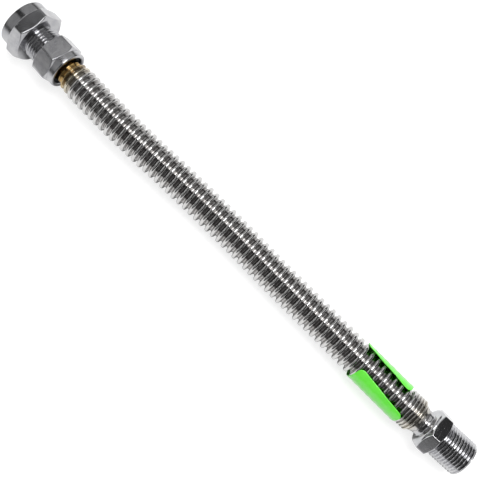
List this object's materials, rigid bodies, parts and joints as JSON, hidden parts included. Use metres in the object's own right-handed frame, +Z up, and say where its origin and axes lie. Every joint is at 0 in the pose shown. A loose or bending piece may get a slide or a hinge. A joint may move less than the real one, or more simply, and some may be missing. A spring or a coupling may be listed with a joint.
{
  "type": "flexible hose",
  "caption": "Short corrugated stainless hose with a threaded hex nipple at one end, and a captive union nut with a reducing adapter at the other.",
  "frame": {"origin": "centre of the bounding box's bottom face, on the surface that the hose lies on", "axes": "+X runs along the hose from the adapter to the nipple, +Z is up from the surface"},
  "size_m": [0.3408, 0.0348, 0.03],
  "materials": {
    "tube_steel": "polished stainless steel",
    "nipple_steel": "bright turned steel",
    "tinted_steel": "straw and brown heat tint on stainless steel",
    "nut_chrome": "satin chrome on brass",
    "adapter_chrome": "satin chrome on brass",
    "gasket_rubber": "dull fibre and rubber",
    "label_film": "smooth green film"
  },
  "bodies": {
    "hose": {"corrugated_tube": "tube_steel", "hex_nipple": "nipple_steel", "tailpiece": "tinted_steel", "gasket": "gasket_rubber", "label": "label_film"},
    "nut": {"union_nut": "nut_chrome"},
    "adapter": {"reducing_adapter": "adapter_chrome"}
  },
  "joints": [
    {"name": "nut_spin", "type": "hinge", "parent": "hose", "child": "nut", "pos_m": [-0.1254, -0.0017, 0.015], "axis": [0.999, -0.0436, 0], "range_deg": [-713, 790]},
    {"name": "adapter_travel", "type": "slide", "parent": "hose", "child": "adapter", "axis": [0.999, -0.0436, 0], "range_m": [-0.00398, 0.00359]}
  ],
  "couplings": [
    {"joint": "nut_spin", "follows": "adapter_travel", "rad_per_m": -3463.2}
  ]
}
